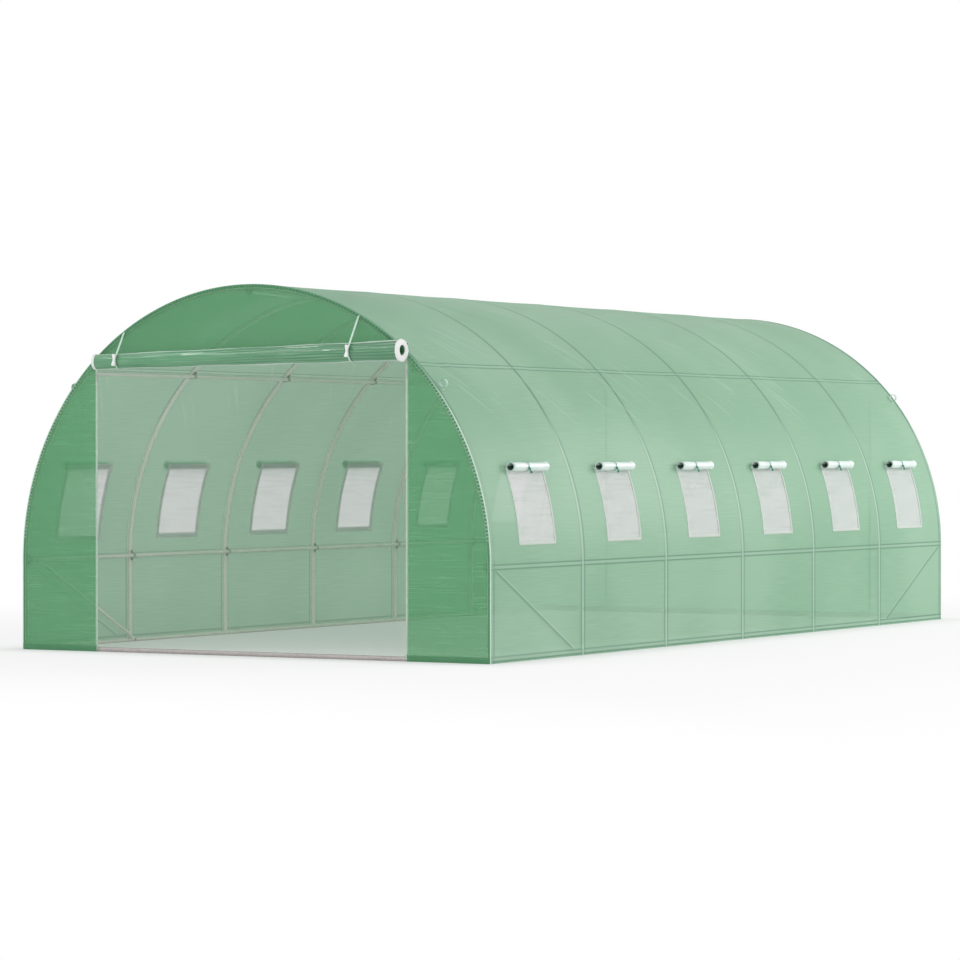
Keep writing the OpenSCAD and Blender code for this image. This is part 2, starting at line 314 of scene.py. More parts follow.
def tube_wear_and_shade(base, low, along):
    """The cover's colour with painted shade beside the hoops, rails and brace under it, and pale lines over
    them that are partly rub wear and partly painted light.
    """
    past = (low.math("FRACT", (along - HOOP_Y[0] + MID_Y) / BAY + 0.5) - 0.5) * BAY
    off = abs(past)
    high = low.step(LEG + 0.58, LEG + 0.92)
    # Hoops: painted shade beside each, deeper on its far side, and a dark painted line over the roof; a pale
    # middle low down.
    pale, flank_shade = pressed_wear_and_shade(off, 0.0085, 0.024)
    at_front = 1 - along.step(FRONT - MID_Y + 0.05, FRONT - MID_Y + 0.09)
    at_rear = along.step(REAR - MID_Y - 0.09, REAR - MID_Y - 0.05)
    far_side = past.step(-0.003, 0.003) * (1 - at_front)
    far_side = far_side.most(at_rear, 1 - low.step(LEG - 0.02, LEG + 0.06))
    hoop_shade = flank_shade * (1 - high) * (0.16 + far_side * 0.46) + (1 - off.step(0.007, 0.014)) * high * 0.88
    # Rails: painted shade beside them and a weak pale middle over them.
    rail = abs(low - LEG)
    for middle in (BASE_RAIL_Z, PURLIN_S):
        rail = rail.least(abs(low - middle))
    rail_pale, rail_shade = pressed_wear_and_shade(rail, 0.0065, 0.015)
    run = HALF_L - abs(along)
    pale = pale * (0.25 + run.step(0.03, 0.06) * 0.75)
    # Brace: painted shade along its lower side and a painted pale line along its upper side.
    slant = (run - BRACE_HEAD[0]) * BRACE_LEAN[1] + (low - BRACE_HEAD[1]) * BRACE_LEAN[0]
    beside = low.span(0.03, 0.05, BRACE_HEAD[1] - 0.02, BRACE_HEAD[1]) * (1 - run.step(BAY, BAY + 0.03))
    under = slant.span(-0.022, -0.016, -0.008, -0.004) * beside
    over = slant.span(-0.007, -0.003, 0.003, 0.007) * beside
    # Dark green of the painted shade, then pale green of the rub wear and painted light.
    base = hoop_shade.most(rail_shade * 0.84, under * 0.62).tint(base, rgb(0.105, 0.30, 0.20))
    lines = (pale * (1 - high) * 0.70).most(rail_pale * 0.24, over * 0.36)
    return lines.tint(base, rgb(0.72, 0.88, 0.78))


def roof_folds_and_sheen(place, low, along):
    """Patches in which the roof is pulled into slanting folds; the mask bumps the folds and paints them
    paler, partly stress whitening and partly painted sheen.
    """
    pulled = low.stretched((low + along) * 21, (low - along) * 1.5).step(0.58, 0.84)
    patch = low.noise(place, 2.1, 0.0).step(0.47, 0.60)
    return pulled * patch * low.span(LEG + 0.7, LEG + 0.95, LEG + 1.6, LEG + 2.2)


def wall_marks_and_light(base, up, along, double):
    """An end wall's colour with its ground hem, painted highlights along its fold and its crease, and painted
    shade over its top.
    """
    # Painted highlight along the fold.
    fold = up.node("ShaderNodeAttribute", out=2, attribute_name="fold")
    base = (fold * 0.30).tint(base, rgb(0.50, 0.74, 0.58))
    # Painted highlight along the crease.
    aside = (along - CREASE_X) * CREASE_LEAN + (up - CREASE_Z)
    glint = 1 - abs(aside).step(0.002, 0.0065)
    glint = glint * along.span(CREASE_X, CREASE_X + 0.05, CREASE_X + 0.12, CREASE_X + 0.42)
    base = (glint * 0.60).tint(base, rgb(0.62, 0.86, 0.70))
    base = (double * 0.46).tint(base, rgb(0.07, 0.26, 0.13))
    # Painted shade: darker above the doorway.
    return (up.step(DOOR_Z - 0.10, DOOR_Z + 0.10) * 0.48).tint(base, rgb(0.080, 0.310, 0.130))


def woven_sheet(name, dark, light, clear=0.0, through=None, glow=0.15, rough=0.34, coat=0.0, wear_and_shade=False,
                wall=False, ribbed=False):
    """Green tape-woven sheet, part of it clear, with paler tapes; on the cover, rub wear with painted shade
    and light over the tubes, and painted sheen and shade on the roof.
    """
    made, shade = new_material(name)
    place = object_place(shade)
    up, along = flat_place(shade)
    cloud = shade.noise(place, 1.1, 1.0)
    streak = shade.stretched(up * 210, along * 4.5)
    deep = rgb(*(0.55 * part for part in dark[:3]))
    thread = up.line(0.0173, 0.24) * shade.stretched(up * 26, along * 0.9).step(0.38, 0.58)
    base = (cloud * 0.75 + streak * 0.25).step(0.32, 0.70).tint(dark, light)
    # Pale streaks along the weave: partly the tapes' tone, partly painted glint.
    base = (streak.step(0.56, 0.74) * (0.08 if wear_and_shade else 0.14)).tint(base, rgb(0.60, 0.80, 0.66))
    base = (thread * (0.30 if wall else 0.07)).tint(base, deep)
    height = thread * 0.3
    if wear_and_shade:
        low = up.least(GIRTH - up)
        fold = roof_folds_and_sheen(place, low, along)
        # Painted shade: the roof high up is darker towards the front end.
        front_roof_shade = (1 - along.step(-2.9, -1.2)) * low.step(LEG + 1.1, LEG + 1.9)
        # Pale roof folds: partly stress whitening, partly painted sheen.
        base = (fold * 0.48).tint(tube_wear_and_shade(base, low, along), rgb(0.66, 0.85, 0.73))
        base = (front_roof_shade * 0.62).tint(base, rgb(0.22, 0.46, 0.29))
        height = height + fold * 1.6
    if wall:
        double = 1 - up.step(GROUND_HEM - 0.002, GROUND_HEM + 0.002)
        base = wall_marks_and_light(base, up, along, double)
        clear = clear * (1 - double * 0.6)
    if ribbed:
        # Painted shade in the grooves between the roll's ribs, fading to the left as the ribs do.
        rib = up.line(0.0125, 0.36) * place.parts().step(-0.55, 0.35)
        base = (rib * 0.85).tint(base, deep)
        height = height + (1 - rib) * 0.8
    finish = {"Normal": height.bump(0.35, 0.0012), "IOR": 1.52, "Coat Weight": coat}
    body = shade.lit(glow, shade.surface(base, rough + streak * 0.14, finish), between(dark, light))
    if clear:
        body = shade.mixed(clear, body, shade.gap(through))
    return put_out(made, body)


def screen_mesh():
    """Fine white insect mesh, open between its threads."""
    made, shade = new_material("screen_mesh")
    across, along = flat_place(shade)
    thread = across.line(0.0016, 0.36).most(along.line(0.0016, 0.36))
    fold = shade.noise(object_place(shade), 14.0)
    crease = shade.stretched(across * 62, along * 3.0).step(0.54, 0.66)
    base = fold.step(0.3, 0.75).tint(rgb(0.92, 0.90, 0.92), rgb(0.97, 0.95, 0.97))
    # Painted shade: the screen's creases are darker.
    base = (crease * 0.30).tint(base, rgb(0.62, 0.61, 0.62))
    body = shade.surface(base, 0.55 + fold * 0.2, {"Normal": crease.bump(0.4, 0.0008)})
    body = shade.lit(0.40, body, rgb(0.90, 0.88, 0.90))
    return put_out(made, shade.mixed(0.22 + thread * 0.62, shade.gap(rgb(1, 1, 1)), body))


def flap_film():
    """Pale, glossy sheet of the rolled flaps, with a fine reinforcing net in it."""
    made, shade = new_material("flap_film")
    across, along = flat_place(shade)
    net = across.line(0.010, 0.14).most(along.line(0.010, 0.14))
    cloud = shade.noise(object_place(shade), 9.0)
    base = cloud.step(0.3, 0.7).tint(rgb(0.72, 0.89, 0.83), rgb(0.86, 0.96, 0.92))
    base = (net * 0.5).tint(base, rgb(0.93, 0.98, 0.96))
    finish = {"Normal": (net + cloud).bump(0.3, 0.0008), "IOR": 1.5, "Coat Weight": 0.6,
              "Coat Roughness": 0.12}
    film = shade.surface(base, 0.18 + cloud * 0.10, finish)
    return put_out(made, shade.lit(0.12, film, rgb(0.80, 0.93, 0.88)))


def zinc(name, dark, light, spangle, rough, metal):
    """Zinc-coated steel: crystal spangle, dull patches and fine scratches."""
    made, shade = new_material(name)
    place = object_place(shade)
    grain = shade.node("ShaderNodeTexVoronoi", {"Vector": place, "Scale": spangle}, out=1).parts()
    cloud = shade.noise(place, 6.0, 5.0)
    scratch = shade.noise(shade.node("ShaderNodeMapping", {0: place, 3: (60.0, 4.0, 60.0)}), 6.0)
    base = (grain * 0.5 + cloud * 0.6).step(0.2, 0.85).tint(dark, light)
    dull = rough + cloud * 0.18 + grain * 0.08
    height = grain * 0.3 + scratch * 0.5
    return put_out(made, shade.surface(base, dull, {"Metallic": metal, "Normal": height.bump(0.12, 0.0006)}))


def tape_weave(name, dark, light, pitch, shaded=None, glow=0.0):
    """Narrow woven tape with ribs across it; where a shaded colour is given, it is painted darker high up as
    shade.
    """
    made, shade = new_material(name)
    place = object_place(shade)
    across, along = flat_place(shade)
    turns = math.tau / pitch
    rib = shade.math("SINE", across * turns) * shade.math("SINE", along * turns)
    cloud = shade.noise(place, 30.0)
    base = (cloud * 0.7 + rib * 0.2).step(0.15, 0.7).tint(dark, light)
    # Painted shade: high up the tape takes the shaded colour.
    if shaded:
        high = place.parts().output(2).step(LEG + 0.75, LEG + 1.15)
        base = (high * 0.9).tint(base, shaded)
    body = shade.surface(base, 0.62 + cloud * 0.2, {"Normal": rib.bump(0.5, 0.0006)})
    if glow:
        body = shade.lit(glow, body, between(dark, light))
    return put_out(made, body)


def moulded(name, dark, light, rough):
    """Moulded plastic with a fine grain and paler patches at random."""
    made, shade = new_material(name)
    place = object_place(shade)
    grain = shade.noise(place, 900.0)
    base = shade.noise(place, 40.0).step(0.3, 0.7).tint(dark, light)
    return put_out(made, shade.surface(base, rough + grain * 0.15, {"Normal": grain.bump(0.15, 0.0003)}))


SHEET = woven_sheet("cover_sheet", rgb(0.375, 0.615, 0.440), rgb(0.490, 0.715, 0.550), clear=0.46,
                    through=rgb(0.86, 0.93, 0.88), glow=0.20, wear_and_shade=True)
WALL = woven_sheet("end_wall_sheet", rgb(0.145, 0.435, 0.212), rgb(0.190, 0.490, 0.255), clear=0.54,
                   through=rgb(0.82, 0.96, 0.86), glow=0.22, wall=True)
DOUBLED = woven_sheet("doubled_sheet", rgb(0.122, 0.375, 0.182), rgb(0.150, 0.420, 0.212))
ROLLED = woven_sheet("rolled_sheet", rgb(0.088, 0.325, 0.150), rgb(0.128, 0.400, 0.195), rough=0.20, coat=1.0,
                     ribbed=True)
# Near-black inner turns of the rolled flaps, where the hem lies: painted shade in each roll's hollow.
HEM_SHADE = woven_sheet("flap_hem_shade", rgb(0.030, 0.100, 0.060), rgb(0.050, 0.140, 0.090), rough=0.5)
MESH = screen_mesh()
FILM = flap_film()
TUBE = zinc("galvanised_tube", rgb(0.91, 0.855, 0.835), rgb(0.98, 0.925, 0.905), 160.0, 0.34, 0.06)
# Darker copy of the galvanised tube for the rails on the ground: painted shade.
SHADED_GROUND_TUBE = zinc("shaded_ground_tube", rgb(0.43, 0.395, 0.385), rgb(0.54, 0.500, 0.490), 160.0, 0.36, 0.20)
CLAMP = zinc("pressed_clamp", rgb(0.46, 0.455, 0.45), rgb(0.66, 0.65, 0.64), 220.0, 0.30, 0.8)
BOLT = zinc("bolt_zinc", rgb(0.36, 0.36, 0.35), rgb(0.58, 0.57, 0.55), 400.0, 0.26, 0.95)
TAPE = tape_weave("zip_tape", rgb(0.30, 0.50, 0.37), rgb(0.42, 0.62, 0.48), 0.0018)
ROLL_TAPE = tape_weave("rolled_zip_tape", rgb(0.88, 0.88, 0.885), rgb(0.95, 0.95, 0.95), 0.0018)
TEETH = moulded("zip_teeth", rgb(0.76, 0.75, 0.69), rgb(0.88, 0.87, 0.81), 0.30)
WEBBING = tape_weave("webbing", rgb(0.56, 0.72, 0.62), rgb(0.76, 0.88, 0.80), 0.0030)
LOOP = tape_weave("loop_webbing", rgb(0.40, 0.62, 0.49), rgb(0.58, 0.77, 0.65), 0.0030)
# Piping and lacing: a pale, lit colour low down and painted shade high up.
PIPING = tape_weave("piping_tape", rgb(0.56, 0.74, 0.60), rgb(0.78, 0.88, 0.80), 0.0040,
                    shaded=rgb(0.085, 0.275, 0.145))
LACING = tape_weave("lacing_cord", rgb(0.30, 0.54, 0.37), rgb(0.46, 0.68, 0.52), 0.0040,
                    shaded=rgb(0.115, 0.345, 0.175))
BINDING = tape_weave("binding_tape", rgb(0.84, 0.88, 0.84), rgb(0.93, 0.95, 0.92), 0.0024, glow=0.45)
THREAD = tape_weave("sewing_thread", rgb(0.06, 0.18, 0.10), rgb(0.11, 0.27, 0.16), 0.0012)
PALE_THREAD = tape_weave("pale_thread", rgb(0.62, 0.68, 0.62), rgb(0.78, 0.83, 0.78), 0.0012)
WHITE_TOGGLE = moulded("white_toggle", rgb(0.86, 0.87, 0.85), rgb(0.94, 0.95, 0.93), 0.26)
FLAP_TIE = tape_weave("flap_tie", rgb(0.06, 0.34, 0.25), rgb(0.12, 0.44, 0.33), 0.0030)
GREEN_TOGGLE = moulded("green_toggle", rgb(0.010, 0.20, 0.13), rgb(0.02, 0.28, 0.19), 0.30)


# Making and finishing pieces

def deselect():
    bpy.ops.object.select_all(action="DESELECT")


def only(piece):
    deselect()
    piece.select_set(True)
    bpy.context.view_layer.objects.active = piece


def settle():
    """Puts the active object's place, turn and size into its mesh."""
    bpy.ops.object.transform_apply(location=True, rotation=True, scale=True)


def open_mesh(mark="SELECT"):
    bpy.ops.object.mode_set(mode="EDIT")
    bpy.ops.mesh.select_all(action=mark)


def close_mesh():
    bpy.ops.object.mode_set(mode="OBJECT")


def inset_faces(piece, chosen, thickness, depth):
    """Insets the faces that a test on their normals chooses."""
    for face in piece.data.polygons:
        face.select = chosen(face.normal)
    bpy.ops.object.mode_set(mode="EDIT")
    bpy.ops.mesh.select_mode(type="FACE")
    bpy.ops.mesh.inset(thickness=thickness, depth=depth)
    close_mesh()


def link_new(name, data):
    made = bpy.data.objects.new(name, data)
    bpy.context.scene.collection.objects.link(made)
    return made


def dress(piece, finish, angle=38):
    """Place into the mesh, smooth shading, finish and body."""
    only(piece)
    settle()
    bpy.ops.object.shade_smooth_by_angle(angle=math.radians(angle))
    piece.data.materials.clear()
    piece.data.materials.append(finish)
    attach(piece, "root")
    return piece


def thicken(piece, thickness, offset=-1.0):
    only(piece)
    wall = piece.modifiers.new("wall", "SOLIDIFY")
    wall.thickness = thickness
    wall.offset = offset
    bpy.ops.object.modifier_apply(modifier=wall.name)


def sew(piece, thickness, finish, offset=-1.0):
    """Thickness and finish of a sheet; the offset says to which side it grows."""
    thicken(piece, thickness, offset)
    return dress(piece, finish, SHEET_ANGLE)


def steps(keys, cell):
    """Even steps no longer than a cell between the key places; a cell may depend on the place."""
    made = [keys[0]]
    for start, end in zip(keys, keys[1:]):
        size = cell((start + end) / 2) if callable(cell) else cell
        count = max(1, math.ceil((end - start) / size - 0.001))
        made += [start + (end - start) * k / count for k in range(1, count + 1)]
    return made


def flat_sheet(name, grids, turned=False):
    """One object of several grids; a grid has two lists of places, a placing function and its holes."""
    mesh = bpy.data.meshes.new(name)
    shape = bmesh.new()
    flat = shape.loops.layers.uv.new("UVMap")
    for rows, columns, place, hole in grids:
        corners = [[shape.verts.new(place(a, b)) for b in columns] for a in rows]
        for i in range(len(rows) - 1):
            for j in range(len(columns) - 1):
                if hole and hole((rows[i] + rows[i + 1]) / 2, (columns[j] + columns[j + 1]) / 2):
                    continue
                around = [(i, j), (i + 1, j), (i + 1, j + 1), (i, j + 1)]
                around = around[::-1] if turned else around
                face = shape.faces.new([corners[a][b] for a, b in around])
                for loop, (a, b) in zip(face.loops, around):
                    loop[flat].uv = (rows[a], columns[b])
    loose = [corner for corner in shape.verts if not corner.link_faces]
    bmesh.ops.delete(shape, geom=loose, context="VERTS")
    shape.to_mesh(mesh)
    shape.free()
    return link_new(name, mesh)


def relay(piece, change):
    """Changes the places of a sheet's corners on the flat cloth."""
    for spot in piece.data.uv_layers[0].data:
        spot.uv = change(*spot.uv)


def repeat(name, pattern, places, finish, angle=38):
    """Copies of one modelled pattern, each placed by a matrix, in one piece."""
    shape = bmesh.new()
    for place in places:
        copy = pattern.data.copy()
        copy.transform(place)
        shape.from_mesh(copy)
        bpy.data.meshes.remove(copy)
    mesh = bpy.data.meshes.new(name)
    shape.to_mesh(mesh)
    shape.free()
    dress(link_new(name, mesh), finish, angle)


def discard(*patterns):
    for pattern in patterns:
        bpy.data.objects.remove(pattern)


def join(name, pieces):
    deselect()
    for piece in pieces:
        piece.select_set(True)
    bpy.context.view_layer.objects.active = pieces[0]
    bpy.ops.object.join()
    pieces[0].name = name
    return pieces[0]


def seat(place, along, out):
    """Matrix that puts a pattern's x along one direction and its z along another."""
    out = Vector(out).normalized()
    along = Vector(along)
    along = (along - out * along.dot(out)).normalized()
    side = out.cross(along)
    turn = Matrix((along, side, out)).transposed().to_4x4()
    turn.translation = Vector(place)
    return turn


def smooth(value, low=0.0, high=1.0):
    share = min(1.0, max(0.0, (value - low) / (high - low)))
    return share * share * (3 - 2 * share)


def path_length(points):
    return sum((b - a).length for a, b in zip(points, points[1:]))


# Forms of the tunnel

def toward(turned):
    """Direction at an angle across the tunnel, from its right side over its top."""
    return Vector((math.cos(turned), 0, math.sin(turned)))


def girth(s, out=0.0):
    """Point and outward direction on the profile, at a length along it from the left ground edge."""
    if s < LEG:
        way = Vector((-1, 0, 0))
        foot = Vector((0, 0, s))
    elif s > LEG + ARC:
        way = Vector((1, 0, 0))
        foot = Vector((0, 0, GIRTH - s))
    else:
        turned = math.pi - (s - LEG) / RADIUS
        way = toward(turned)
        foot = Vector((0, 0, LEG))
    return foot + way * (RADIUS + out), way


def on_cover(s, y, out=0.0):
    point = girth(s, out)[0]
    point.y = y
    return point


def from_left(side, height):
    """Length along the profile, from the left ground edge, of a height up one side."""
    return height if side < 0 else GIRTH - height


def uphill(side, out):
    """Direction up the cover on one side, where it faces out."""
    return Vector((-side * out.z, 0, abs(out.x)))


def arch_x(z):
    return RADIUS if z < LEG else math.sqrt(RADIUS ** 2 - (z - LEG) ** 2)


def arch_z(x):
    return LEG + math.sqrt(RADIUS ** 2 - x * x)


def make_creases(seed, count, span, length, width, depth, mirrored=False):
    """Soft pulled folds: place, direction, half length, half width and depth of each."""
    draw = random.Random(seed)
    made = []
    for _ in range(count):
        a, b = draw.uniform(*span[0]), draw.uniform(*span[1])
        way = draw.choice((-1, 1))
        if mirrored:
            way = 1 if a > sum(span[0]) / 2 else -1
        lean = way * draw.uniform(0.60, 1.00)
        made.append((a, b, math.cos(lean), math.sin(lean),
                     draw.uniform(*length), draw.uniform(*width), draw.uniform(*depth)))
    return made


def crease_line(points, width, depth):
    """A fold that follows a line of points."""
    made = []
    for (xa, za), (xb, zb) in zip(points, points[1:]):
        length = math.hypot(xb - xa, zb - za)
        way = ((xb - xa) / length, (zb - za) / length)
        made.append(((xa + xb) / 2, (za + zb) / 2, *way, length * 0.55, width, depth))
    return made


def crease_depth(creases, a, b):
    total = 0.0
    for ca, cb, ua, ub, reach, width, depth in creases:
        da, db = a - ca, b - cb
        p = (da * ua + db * ub) / reach
        if abs(p) < 1.6:
            q = (db * ua - da * ub) / width
            if abs(q) < 2.6:
                total += depth * math.exp(-q * q - p ** 4)
    return total


ROOF_SPAN = ((ROOF_LOW, GIRTH - LEG - 0.75), (FRONT + 0.12, REAR - 0.12))
LUNETTE_SPAN = ((-0.75, 0.75), (DOOR_Z + 0.10, DOOR_Z + 0.34))
JAMB_SPAN = ((0.98, 1.45), (0.15, 1.20))
DOOR_SPAN = ((-0.85, 0.85), (0.2, 1.45))
COVER_CREASES = make_creases(11, 90, ROOF_SPAN, (0.10, 0.30), (0.022, 0.048), (-0.0030, 0.0052),
                             mirrored=True)
WALL_CREASES = make_creases(5, 7, LUNETTE_SPAN, (0.12, 0.30), (0.030, 0.055), (-0.0026, 0.0030))
WALL_CREASES += make_creases(6, 10, JAMB_SPAN, (0.08, 0.22), (0.030, 0.050), (-0.0016, 0.0026))
# The fold above the doorway: a shallow dent, and the line of its painted highlight.
WALL_FOLDS = crease_line([(0.30, 1.93), (0.108, 1.882), (-0.149, 1.801), (-0.330, 1.705)], 0.026, 1.0)
FOLD_DEPTH = 0.0016
DOOR_CREASES = make_creases(8, 12, DOOR_SPAN, (0.15, 0.40), (0.035, 0.070), (-0.0030, 0.0035))


def hem_out(inside):
    return HEM_T if inside else 0.0


def cover_point(s, y):
    """The cover: taut over the hoops, a little slack between them, hemmed at its edges."""
    bay = min(len(WINDOW_Y) - 1, max(0, int((y - HOOP_Y[0]) / BAY)))
    share = min(1.0, max(0.0, (y - HOOP_Y[bay]) / BAY))
    height = min(s, GIRTH - s)
    end = min(y - FRONT, REAR - y)
    slack = 4 * share * (1 - share)
    inward = SAG * slack * smooth(height, LEG + 0.62, LEG + 1.15)
    calm = smooth(height, LEG + 0.55, LEG + 0.75) * smooth(end, 0.10, 0.24)
    inward += crease_depth(COVER_CREASES, s, y) * calm * smooth(slack, 0.05, 0.5)
    low = smooth(height, 0.06, 0.14) * (1 - smooth(height, LEG - 0.06, LEG))
    inward += 0.0014 * low * slack * math.sin(y * 9.0 + s * 5.0) ** 2
    return on_cover(s, y, hem_out(height < GROUND_HEM + NEAR or end < EDGE_SEAM + NEAR) - inward)


def is_window(s, y):
    if not SILL < min(s, GIRTH - s) < HEAD:
        return False
    return any(abs(y - middle) < WINDOW_W / 2 for middle in WINDOW_Y)


def make_cover():
    half = [0, GROUND_HEM, GROUND_HEM + HEM_TURN, LEG, SILL, HEAD, ROOF_LOW, ROOF_HIGH]

    def row_cell(s):
        height = min(s, GIRTH - s)
        return 0.042 if height < ROOF_LOW else 0.018 if height < ROOF_HIGH else 0.030

    rows = steps(half + [GIRTH - s for s in reversed(half)], row_cell)
    ends = (NEAR, EDGE_SEAM, EDGE_SEAM + HEM_TURN)
    keys = [FRONT + d for d in ends] + [REAR - d for d in ends] + HOOP_Y[1:-1]
    keys += [y + side * WINDOW_W / 2 for y in WINDOW_Y for side in SIDES]
    columns = steps(sorted(keys), lambda y: 0.024 if y < MID_Y else 0.038)
    cover = flat_sheet("cover", [(rows, columns, cover_point, is_window)], turned=True)
    relay(cover, lambda s, y: (s, y - MID_Y))
    sew(cover, SHEET_T, SHEET)
    strips = ["left_skirt", "right_skirt", "left_wall", "right_wall", "left_shoulder", "right_shoulder",
              "crown"]
    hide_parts(*strips)


def wall_outline():
    """Pairs of points on the doorway and on the arch, from the right ground edge over to the left one."""
    rise, reach, cell = 0.15, 0.09, 0.026
    up, along = 6, 4
    turn_z, turn_x = DOOR_Z - rise, DOOR_X - reach
    jamb = steps([0, GROUND_HEM, GROUND_HEM + HEM_TURN, turn_z], cell)
    pairs = [((DOOR_X, z), (arch_x(z), z)) for z in jamb]
    low = math.atan2(turn_z - LEG, arch_x(turn_z))
    high = math.atan2(arch_z(turn_x) - LEG, turn_x)
    for k in range(1, up + along):
        inner = (DOOR_X, turn_z + rise * k / up) if k <= up else (DOOR_X - reach * (k - up) / along, DOOR_Z)
        turned = low + (high - low) * k / (up + along)
        pairs.append((inner, (RADIUS * math.cos(turned), LEG + RADIUS * math.sin(turned))))
    pairs += [((x, DOOR_Z), (x, arch_z(x))) for x in reversed(steps([0, turn_x], cell))]
    left = [((-a[0], a[1]), (-b[0], b[1])) for a, b in reversed(pairs[:-1])]
    return pairs + left


def make_wall_hem(name, y, inward):
    """The wall's doubled edge along the arch."""
    marks = steps([0, LEG, LEG + ARC, GIRTH], 0.04)
    insets = [WALL_HEM_INSET + WALL_HEM * share for share in (0, 0.5, 1)]

    def place(s, inset):
        return on_cover(s, y - inward * WALL_HEM_OUT, -inset)

    hem = flat_sheet(name, [(marks, insets, place, None)], turned=inward > 0)
    return sew(hem, HEM_T, DOUBLED)


def make_end_wall(name, y, inward, nodes):
    pairs = wall_outline()
    rows = list(range(len(pairs)))
    shares = steps([0, 0.04, 0.96, 1], 0.0625)

    def place(i, share):
        inner, outer = pairs[i]
        x = inner[0] + (outer[0] - inner[0]) * share
        z = inner[1] + (outer[1] - inner[1]) * share
        edge = min(share, 1 - share) * math.dist(inner, outer)
        calm = smooth(edge, 0.02, 0.09) * smooth(z, 0.06, 0.16)
        back = crease_depth(WALL_CREASES, abs(x) if z < DOOR_Z else x * inward, z) * calm
        back += FOLD_DEPTH * crease_depth(WALL_FOLDS, x * inward, z) * calm
        return Vector((x, y + inward * (back - hem_out(z < GROUND_HEM + NEAR)), z))

    wall = flat_sheet(name, [(rows, shares, place, None)], turned=inward < 0)
    for corner, spot in zip(wall.data.loops, wall.data.uv_layers[0].data):
        point = wall.data.vertices[corner.vertex_index].co
        spot.uv = (point.z, point.x)
    # The fold's attribute places its painted highlight in the wall's colour.
    folds = wall.data.attributes.new("fold", "FLOAT", "POINT")
    for corner, fold in zip(wall.data.vertices, folds.data):
        fold.value = crease_depth(WALL_FOLDS, corner.co.x * inward, corner.co.z)
    sew(wall, SHEET_T, WALL)
    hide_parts(*nodes)
    hem = make_wall_hem(name + "_hem", y, inward)


def make_rear_door():
    edge, cell = 0.02, 0.028
    columns = steps([-DOOR_X, -DOOR_X + edge, DOOR_X - edge, DOOR_X], cell)
    rows = steps([0, GROUND_HEM, GROUND_HEM + HEM_TURN, DOOR_Z], cell)

    def place(x, z):
        calm = smooth(DOOR_X - abs(x), 0.01, 0.10) * smooth(DOOR_Z - z, 0.0, 0.08) * smooth(z, 0.05, 0.16)
        back = (crease_depth(DOOR_CREASES, x, z) + 0.002 * math.sin(x * 7.0) ** 2) * calm
        return Vector((x, REAR - back + hem_out(z < GROUND_HEM + NEAR), z))

    door = flat_sheet("rear_door_sheet", [(columns, rows, place, None)], turned=True)
    relay(door, lambda x, z: (z, x))
    sew(door, SHEET_T, WALL)
    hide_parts("rear_door")


# Rolled sheets

def winding(turn, core, outer, turns):
    """Radius and angle, from the back round underneath, at a share of a rolled sheet's turns."""
    return core + (outer - core) * turn, math.tau * turns * (1 - turn)


def roll_form(x):
    """Size and middle of the rolled door at a place across it."""
    share = (x - ROLL_LOW) / ROLL_L
    size = 1 + (ROLL_RIGHT_R / ROLL_LEFT_R - 1) * share
    z = DOOR_Z + ROLL_LEFT_RISE + (ROLL_RIGHT_RISE - ROLL_LEFT_RISE) * share
    y = FRONT - FIT - size * (ROLL_STAND + ROLL_LEFT_R)
    return size, y, z


def roll_point(x, turn, swell=0.0):
    """A place on the rolled door: ribbed and dented where it is slack, drawn in at its ties."""
    size, y, z = roll_form(x)
    radius, turned = winding(min(turn, 1.0), ROLL_CORE, ROLL_LEFT_R - SHEET_T, ROLL_TURNS)
    ribbed = 0.0003 + 0.0009 * smooth(x, -0.75, 0.3)
    rib = ribbed * math.cos(15 * turned + 1.2 * math.sin(3 * x)) + 0.0005 * math.cos(8 * turned - 5 * x)
    pinch = sum(math.exp(-((x - tie) / 0.045) ** 2) for tie in TIE_X)
    dent = 0.0012 * math.cos(3 * turned + 13 * x) * (1 - min(1.0, pinch)) - 0.0016 * pinch
    radius = (radius + swell + (rib + dent) * smooth(turn, 0.5, 0.9)) * size
    point = Vector((x, y + radius * math.cos(turned), z - radius * math.sin(turned)))
    if turn > 1.0:
        lift = (turn - 1.0) * 0.6
        point = Vector((x, min(FRONT - 2 * FIT, point.y + 0.4 * lift), z + lift * size))
    return point


def make_door_roll():
    columns = steps([ROLL_LOW, ROLL_HIGH], 0.04)
    last = 1 - 1 / ROLL_TURNS
    rows = steps([0, last, 1], lambda turn: 0.006 if turn < last else 0.0014) + [1.012, 1.024, 1.036, 1.048]
    roll = flat_sheet("front_door_roll_sheet", [(columns, rows, roll_point, None)])
    length = path_length([roll_point(0.0, turn) for turn in rows])
    relay(roll, lambda x, turn: (turn * length, x))
    sew(roll, SHEET_T, ROLLED, 0.0)
    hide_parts("front_door_roll")
    return roll, length


def make_roll_edges():
    """Zip tape along the door's two sides, wound up with it, thicker where the winding is looser."""
    count = int(ROLL_TURNS * 30)
    rows = [k / count for k in range(count + 1)]
    inner, middle, outer = -0.011, -0.004, 0.0035
    made = []
    for end, way, thickness in ((ROLL_LOW, -1, 0.0030), (ROLL_HIGH, 1, 0.0041)):
        span = sorted(end + way * reach for reach in (inner, middle, outer))

        def place(x, turn, end=end, way=way):
            return roll_point(x, turn, 0.0014 + 0.0020 * smooth((x - end) * way, inner, outer))

        tape = flat_sheet("zip_edge", [(span, rows, place, None)])
        thicken(tape, thickness, 0.0)
        made.append(tape)
    return dress(join("door_roll_zip_edges", made), ROLL_TAPE, 50)


